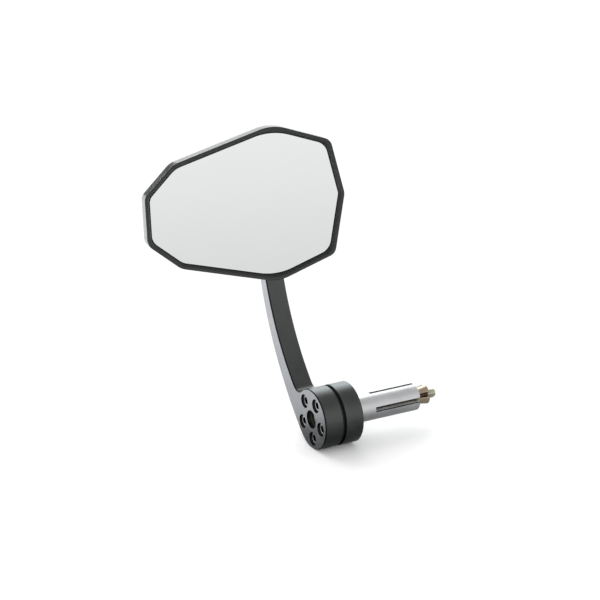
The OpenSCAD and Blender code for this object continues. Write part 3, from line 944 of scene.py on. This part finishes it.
@dataclass
class Expander:
    """The slotted sleeve, the cone nut and the long bolt that draws it in.

    Lengths are millimetres. The sleeve is a turned root tube and the fingers between its slots.
    A finger's section starts at its first broken edge, runs round the outside to the second, and
    comes back round the bore.
    """

    head_x: float = -21.4
    tip_x: float = 57.4
    head_h: float = 6.0
    sleeve_r: float = 8.1
    seat: tuple[float, float] = (-4.0, 7.5)
    seat_end_x: float = -0.6
    seat_edge: float = 0.3
    slot_x: float = 13.6
    end_x: float = 43.8
    slot_w: float = 2.0
    slots: int = 4
    first_slot_deg: float = -7.5
    bore_r: float = 4.3625
    bore_x: float = 5.0
    cone_x: float = 36.3
    mouth_r: float = 5.6
    bolt_hole_r: float = 3.3
    hole_edge: float = 0.2
    finger_x: tuple[float, float] = (24.0, 31.0)
    cone_middle_x: float = 40.0
    edge: float = 0.5
    tip_chamfer: float = 0.6
    out_points: int = 21
    in_points: int = 15
    nut_x: tuple[float, float] = (41.3, 51.3)
    nut_r: tuple[float, float] = (4.3, 5.95)
    nut_gap_r: float = 3.85
    nut_bore_r: float = 3.02
    nut_edge: float = 0.3
    nut_rim_x: tuple[float, float] = (0.45, 0.15)
    nut_rim_trim: tuple[float, float] = (0.12, 0.45)
    lobe_deg: float = 22.5
    lobe_half_deg: float = 34.5
    lobe_side_deg: float = 5.0
    # how far the grooves' painted shade reaches up the lobes, in degrees
    groove_in_deg: float = 3.5
    round_cols: int = 144
    nut_cols: int = 240

    def tube_grid(self) -> np.ndarray:
        """Works out the sleeve's root: a turned loop, out along the outside, back in the bore.

        Returns:
            Array of 1 by rows by columns by 3, in metres.
        """
        x0, r0 = self.seat
        loop = np.array([
            (x0, self.bolt_hole_r + self.hole_edge), (x0, r0 - self.seat_edge),
            (x0 + self.seat_edge, r0), (self.seat_end_x, r0), (0.0, self.sleeve_r),
            (0.5 * self.slot_x, self.sleeve_r), (self.slot_x, self.sleeve_r),
            (self.slot_x, self.bore_r), (self.bore_x, self.bore_r),
            (self.bore_x, self.bolt_hole_r), (x0 + self.hole_edge, self.bolt_hole_r),
            (x0, self.bolt_hole_r + self.hole_edge)])
        return turned(loop[:, 0], loop[:, 1:], self.round_cols)[None] * MM

    def finger_grid(self) -> np.ndarray:
        """Works out the fingers between the slots.

        Every cross-section is a ring sector with its two outer edges broken: its corner angles
        are the arc sines of half the slot's width, plus the broken edge, over the radius. The
        outer radius falls at the tip, and the bore opens in a cone.

        Returns:
            Array of fingers by rows by columns by 3, in metres.
        """
        chamfer_x = self.end_x - self.tip_chamfer
        x = np.array([self.slot_x, *self.finger_x, self.cone_x, self.cone_middle_x, chamfer_x,
                      self.end_x - 0.25, self.end_x])
        chamfer = np.clip(x - chamfer_x, 0, None)
        outer = self.sleeve_r - chamfer
        cone = (self.mouth_r - self.bore_r) / (self.end_x - self.cone_x)
        inner = self.bore_r + cone * np.clip(x - self.cone_x, 0, None)
        half, full = self.slot_w / 2, TAU / self.slots
        shoulder = (outer - self.edge)[:, None]
        low, mid = np.arcsin(half / inner), np.arcsin(half / shoulder)
        high = np.arcsin((half + self.edge) / outer)
        way_out, way_in = np.linspace(0, 1, self.out_points), np.linspace(1, 0, self.in_points)
        out_angle = high[:, None] + (full - 2 * high)[:, None] * way_out
        in_angle = low[:, None] + (full - 2 * low)[:, None] * way_in
        angle = np.concatenate([mid, out_angle, full - mid, in_angle], axis=1)
        radius = np.concatenate([shoulder, outer[:, None] + 0 * out_angle, shoulder,
                                 inner[:, None] + 0 * in_angle], axis=1)
        turn = np.radians(self.first_slot_deg) + full * np.arange(self.slots)
        a = turn[:, None, None] + angle[None]
        ring = np.stack([x[None, :, None] + 0 * a, radius * np.cos(a), radius * np.sin(a)], -1)
        first, last = (end.mean(axis=2, keepdims=True) + 0 * end
                       for end in (ring[:, :1], ring[:, -1:]))
        return np.concatenate([first, ring, last], axis=1) * MM

    def nut_grid(self) -> np.ndarray:
        """Works out the cone nut, a tapered body with a lobe between every two grooves.

        The radius at an angle goes smoothly from the groove's to the cone's within the side of
        a lobe.

        Returns:
            Array of 1 by rows by columns by 3, in metres.
        """
        pitch = 360 / self.slots
        turn = np.arange(self.nut_cols) / self.nut_cols * 360
        off = np.abs((turn - self.lobe_deg + pitch / 2) % pitch - pitch / 2)
        step = np.clip((self.lobe_half_deg - off) / self.lobe_side_deg, 0, 1)
        lobe = step * step * (3 - 2 * step)
        x0, x1 = self.nut_x
        r0, r1 = self.nut_r
        edge, bore, mouth = self.nut_edge, self.nut_bore_r, self.nut_bore_r + self.nut_edge
        x = np.array([x0, x0, x0 + edge, 0.5 * (x0 + x1), *(x1 - v for v in self.nut_rim_x), x1,
                      x1, x1 - edge, x0 + edge, x0])
        cone = r0 + (r1 - r0) * (x - x0) / (x1 - x0)
        trim = np.array([0, edge, 0, 0, 0, *self.nut_rim_trim, 0, 0, 0, 0])
        body = self.nut_gap_r + (cone[:, None] - self.nut_gap_r) * lobe[None] - trim[:, None]
        bored = np.array([mouth, 0, 0, 0, 0, 0, 0, mouth, bore, bore, mouth])
        radius = np.where(bored[:, None] > 0, bored[:, None], body)
        return turned(x, radius, self.nut_cols)[None] * MM

    def bolt_grid(self) -> np.ndarray:
        """Works out the draw bolt, whose head lies in the disc and whose tip passes the nut.

        Returns:
            Array of 1 by rows by columns by 3, in metres.
        """
        bolt = SocketScrew(head_r=5.0, head_h=self.head_h, shank_r=2.95,
                           length=self.tip_x - self.head_x - self.head_h, key=5.0, key_depth=3.2,
                           pitch=1.0, thread_from=28.0, cols=64)
        return (bolt.grid() + np.array([self.head_x, 0.0, 0.0]))[None] * MM

    def build(self, dress: Wardrobe) -> list[Object]:
        """Builds and dresses the expander.

        Args:
            dress: The finished materials.

        Returns:
            The new pieces.
        """
        tube = surface("sleeve_root_tube", self.tube_grid(), dress.bare)
        grid = self.finger_grid()
        far = self.out_points + 1
        # the slot walls take painted light
        walls = faces_of(grid, slice(1, -1), [far, far + self.in_points])
        # the slots' broken edges take painted shade
        edges = faces_of(grid, slice(1, -1), [0, self.out_points])
        fingers = surface("sleeve_fingers", grid, dress.bare,
                          patches=[(walls, dress.milled), (edges, dress.slot_edge_shade)])
        grid = self.nut_grid()
        turn = np.arange(self.nut_cols) * 360 / self.nut_cols
        half = 180 / self.slots
        # faces in and beside the grooves take painted shade
        from_groove = np.abs((turn - self.lobe_deg) % (2 * half) - half)
        grooves = faces_of(grid, NUT_OUTSIDE,
                           from_groove < half - self.lobe_half_deg + self.groove_in_deg)
        nut = surface("lobed_cone_nut", grid, dress.gold, 35, [(grooves, dress.gold_groove_shade)])
        grid = self.bolt_grid()
        # the bolt's socket takes painted shade
        bolt = surface("expander_draw_bolt", grid, dress.zinc,
                       patches=[(faces_of(grid, SOCKET_ROWS), dress.socket)])
        stand_for(tube, "expander_sleeve", "bar_mount")
        stand_for(fingers, "expander_sleeve", "bar_mount")
        stand_for(nut, "cone_nut", "nut")
        stand_for(bolt, "expander_bolt", "bolt")
        return [tube, fingers, nut, bolt]


@dataclass
class BallJoint:
    """The ball stud, its washer and nut, and the liner's two halves."""

    def build(self, dress: Wardrobe) -> list[Object]:
        """Dresses the ball joint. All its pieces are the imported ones.

        Args:
            dress: The finished materials.

        Returns:
            An empty list.
        """
        for name in ("ball_stud", "stud_washer", "stud_nut"):
            dress.node(name, dress.stainless)
        for name in ("liner_front", "liner_rear"):
            dress.node(name, dress.nylon)
        return []


# ---------------------------------------------------------------- studio
def bearing(azimuth: float, elevation: float) -> tuple[float, float, float]:
    """Gives the unit vector at an azimuth from +Y towards +X and an elevation, in degrees."""
    a, e = math.radians(azimuth), math.radians(elevation)
    return (math.sin(a) * math.cos(e), math.cos(a) * math.cos(e), math.sin(e))


@dataclass(frozen=True)
class SoftBox:
    """A soft bright patch of the studio, far away, that fades out between two angles."""

    azimuth: float
    elevation: float
    inner: float
    outer: float
    radiance: float


@dataclass
class Studio:
    """The floor, the soft light and the camera.

    A band of the room is where it starts and ends, as the height of the view's unit vector, and
    its strength there.
    """

    room: tuple[float, ...] = (0.03, 0.13, 0.86, 1.08)
    ceiling: tuple[float, ...] = (0.4, 0.85, 1.0, 0.6)
    horizon: tuple[float, ...] = (0.02, 0.047, 0.45, 0.0)
    window: SoftBox = SoftBox(azimuth=27.6, elevation=25, inner=6, outer=24, radiance=1.0)
    neutral: str = "#e7e7e7"
    cool: str = "#dbe8ef"
    key_from: tuple[float, float] = (-4.0, 38.0)
    key_energy: float = 1.8
    key_deg: float = 70.0
    floor_z: float = -18.0
    floor_gap: float = 0.02
    floor_half: float = 9000.0
    paper: str = "#fbfbfb"
    paper_roughness: float = 0.4
    lift: float = 0.42
    rest_at: tuple[float, float] = (10.0, -28.0)
    fade: tuple[float, float] = (52.0, 74.0)
    black_x: tuple[float, float] = (-300.0, 340.0)
    black_y: float = 1500.0
    black_top: float = 240.0
    grey_x: tuple[float, float] = (-300.0, 600.0)
    grey_y: tuple[float, float] = (-900.0, 30.0)
    grey_gap: float = 0.2
    card_roughness: float = 0.8
    lens: float = 159.4
    sensor: float = 36.0
    clip: tuple[float, float] = (0.05, 60.0)
    camera_mm: tuple[float, float, float] = (-679.2, -1234.9, 657.7)
    right: tuple[float, float, float] = (0.8859, -0.4639, 0.0)
    back: tuple[float, float, float] = (-0.4282, -0.8177, 0.3848)

    def light(self) -> None:
        """Builds the world, a pale room with a cool window behind the object, and the key lamp."""
        world = bpy.data.worlds.new("pale_studio")
        bpy.context.scene.world = world
        world.use_nodes = True
        tree = world.node_tree
        tree.nodes.clear()
        view = add_node(tree, "TexCoord").outputs["Generated"]
        up = add_node(tree, "SeparateXYZ", inputs=(view,)).outputs[2]
        room, ceiling, horizon = (
            add_node(tree, "MapRange", SMOOTH, (up, *band)).outputs[0]
            for band in (self.room, self.ceiling, self.horizon))
        walls = add_node(tree, "Math", {"operation": "MULTIPLY_ADD"}, (
            room, ceiling, horizon))
        near = add_node(tree, "VectorMath", {"operation": "DOT_PRODUCT"}, (
            view, bearing(self.window.azimuth, self.window.elevation)))
        glow = add_node(tree, "MapRange", SMOOTH, (
            near.outputs["Value"], math.cos(math.radians(self.window.outer)),
            math.cos(math.radians(self.window.inner)), 0.0, self.window.radiance)).outputs[0]
        total = add_node(tree, "Math", {"operation": "ADD"}, (walls.outputs[0], glow))
        tint = add_node(tree, "Mix", {"data_type": "RGBA"}, {
            0: glow, MIX_A: linear(self.neutral), MIX_B: linear(self.cool)})
        sky = add_node(tree, "Background", inputs=(
            tint.outputs[MIX_OUT], total.outputs[0]))
        add_node(tree, "OutputWorld", inputs={"Surface": sky.outputs[0]})
        lamp = bpy.data.lights.new("soft_key", "SUN")
        lamp.energy = self.key_energy
        lamp.angle = math.radians(self.key_deg)
        key = bpy.data.objects.new("soft_key", lamp)
        towards = Vector(bearing(*self.key_from))
        key.rotation_euler = towards.to_track_quat("Z", "Y").to_euler()
        bpy.context.scene.collection.objects.link(key)

    def sheet(self, name: str, corners: np.ndarray, finish: Material) -> Object:
        """Makes a flat sheet of one face.

        Args:
            name: The sheet's name.
            corners: Array of 4 by 3, in millimetres, in order round the sheet.
            finish: Its material.

        Returns:
            The new object.
        """
        mesh = bpy.data.meshes.new(name)
        mesh.from_pydata(corners * MM, [], [(0, 1, 2, 3)])
        mesh.materials.append(finish)
        sheet = bpy.data.objects.new(name, mesh)
        bpy.context.scene.collection.objects.link(sheet)
        return sheet

    def floor(self) -> None:
        """Lays the floor under the discs.

        It is white and dull, and looks a little whiter than it lights its surroundings. To the
        camera it is clear from below, and away from where the object rests, where it is as white
        as the room behind it. So a view from underneath, and an arm that hangs below it, show.
        """
        mat, tree = blank_material("white_paper_sweep")
        rays = add_node(tree, "LightPath").outputs
        seen = add_node(tree, "Math", {"operation": "MAXIMUM"}, (
            rays["Is Camera Ray"], rays["Is Glossy Ray"]))
        shown = add_node(tree, "Math", {"operation": "MAXIMUM"}, (
            seen.outputs[0], rays["Is Transmission Ray"]))
        lift = add_node(tree, "Mix", {"data_type": "RGBA"}, {
            0: shown.outputs[0], MIX_A: (0, 0, 0, 1), MIX_B: (self.lift,) * 3 + (1,)})
        paper, more = (
            add_node(tree, "BsdfDiffuse", inputs=(tone, self.paper_roughness)).outputs[0]
            for tone in (linear(self.paper), lift.outputs[MIX_OUT]))
        white = add_node(tree, "AddShader", inputs=(paper, more))
        clear = add_node(tree, "BsdfTransparent")
        below = add_node(tree, "NewGeometry").outputs["Backfacing"]
        middle = tuple(v * MM for v in (*self.rest_at, self.floor_z))
        away = add_node(tree, "VectorMath", {"operation": "DISTANCE"}, (
            add_node(tree, "TexCoord").outputs["Object"], middle))
        far = add_node(tree, "MapRange", SMOOTH, (
            away.outputs["Value"], *(v * MM for v in self.fade)))
        unwanted = add_node(tree, "Math", {"operation": "MAXIMUM"}, (
            below, far.outputs[0]))
        unseen = add_node(tree, "Math", {"operation": "MULTIPLY"}, (
            unwanted.outputs[0], rays["Is Camera Ray"]))
        mix = add_node(tree, "MixShader", inputs=(
            unseen.outputs[0], white.outputs[0], clear.outputs[0]))
        end_surface(tree, mix.outputs[0])
        half, z = self.floor_half, self.floor_z - self.floor_gap
        floor = self.sheet("floor", np.array([
            (-half, -half, z), (half, -half, z), (half, half, z), (-half, half, z)]), mat)

    def card(self, name: str, tone: str, corners: list[tuple[float, float, float]]) -> None:
        """Sets up a dull card that only reflections see.

        Args:
            name: Name of the card and its material.
            tone: sRGB hex colour.
            corners: Its four corners in order, in millimetres.
        """
        mat, tree = blank_material(name)
        cloth = add_node(tree, "BsdfDiffuse", inputs=(
            linear(tone), self.card_roughness))
        end_surface(tree, cloth.outputs[0])
        card = self.sheet(name, np.array(corners), mat)
        card.visible_camera = False
        card.visible_diffuse = False
        card.visible_shadow = False

    def cards(self) -> None:
        """Sets one black card far behind the object and one grey card on the floor before it.

        The sides of the head that face up and outwards mirror the first, and the undersides of
        the discs and the sleeve mirror the second.
        """
        (left, right), far, top = self.black_x, self.black_y, self.black_top
        z = self.floor_z
        self.card("black_card", "#050505", [
            (left, far, z), (right, far, z), (right, far, top), (left, far, top)])
        (left, right), (near, far) = self.grey_x, self.grey_y
        z += self.grey_gap
        self.card("grey_card", "#b6b6b6", [
            (left, near, z), (right, near, z), (right, far, z), (left, far, z)])

    def camera(self) -> None:
        """Sets the camera where the photographer stood: left of the rider's line, looking down."""
        data = bpy.data.cameras.new("photo_camera")
        data.lens, data.sensor_width, data.sensor_fit = self.lens, self.sensor, "HORIZONTAL"
        data.clip_start, data.clip_end = self.clip
        cam = bpy.data.objects.new("photo_camera", data)
        b, r = Vector(self.back).normalized(), Vector(self.right).normalized()
        up = b.cross(r)
        turn = Matrix((r, up, b)).transposed().to_4x4()
        cam.matrix_world = Matrix.Translation(Vector(self.camera_mm) * MM) @ turn
        bpy.context.scene.collection.objects.link(cam)
        bpy.context.scene.camera = cam

    def build(self) -> None:
        """Sets up the studio and the plain view transform."""
        self.light()
        self.floor()
        self.cards()
        self.camera()
        bpy.context.scene.view_settings.view_transform = "Standard"


def main() -> None:
    """Builds the sub-assemblies in order, then the studio."""
    logging.basicConfig(level=logging.INFO, format="%(name)s: %(message)s")
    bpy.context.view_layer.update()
    dress = Wardrobe()
    for part in (Expander(), ClampArm(), BallJoint(), MirrorHead()):
        for piece in part.build(dress):
            log.info("built %s: %d faces", piece.name, len(piece.data.polygons))
    Studio().build()


if __name__ == "__main__":
    main()
